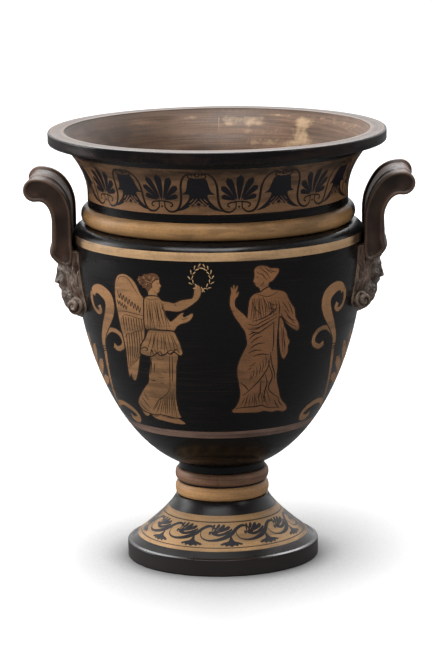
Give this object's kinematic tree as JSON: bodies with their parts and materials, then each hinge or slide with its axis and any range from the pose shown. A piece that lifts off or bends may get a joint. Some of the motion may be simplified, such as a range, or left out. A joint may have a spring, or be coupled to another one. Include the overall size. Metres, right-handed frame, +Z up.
{
  "type": "greek krater",
  "caption": "Wide-mouthed hollow vase with a flared lip, a half-round ring under the neck, strap handles over bearded masks, and a pedestal foot.",
  "frame": {"origin": "middle of the foot's underside, on the vase's turning axis", "axes": "+Z up along the turning axis; handles on the X axis; the painted front faces -Y"},
  "size_m": [0.4092, 0.3566, 0.46],
  "materials": {
    "painted_body": "black slip with a soft gloss, over orange-brown clay left bare in the figures, friezes and rings; grey-brown and worn inside",
    "painted_foot": "clay-coloured rings and frieze, black cone and plinth, soft gloss, worn edges",
    "bronzed_handle": "dark brown, bronze-like coat, satin, worn lighter on the edges"
  },
  "bodies": {
    "root": {"krater_body": "painted_body", "krater_foot": "painted_foot", "handle_left": "bronzed_handle", "handle_right": "bronzed_handle"}
  },
  "joints": []
}
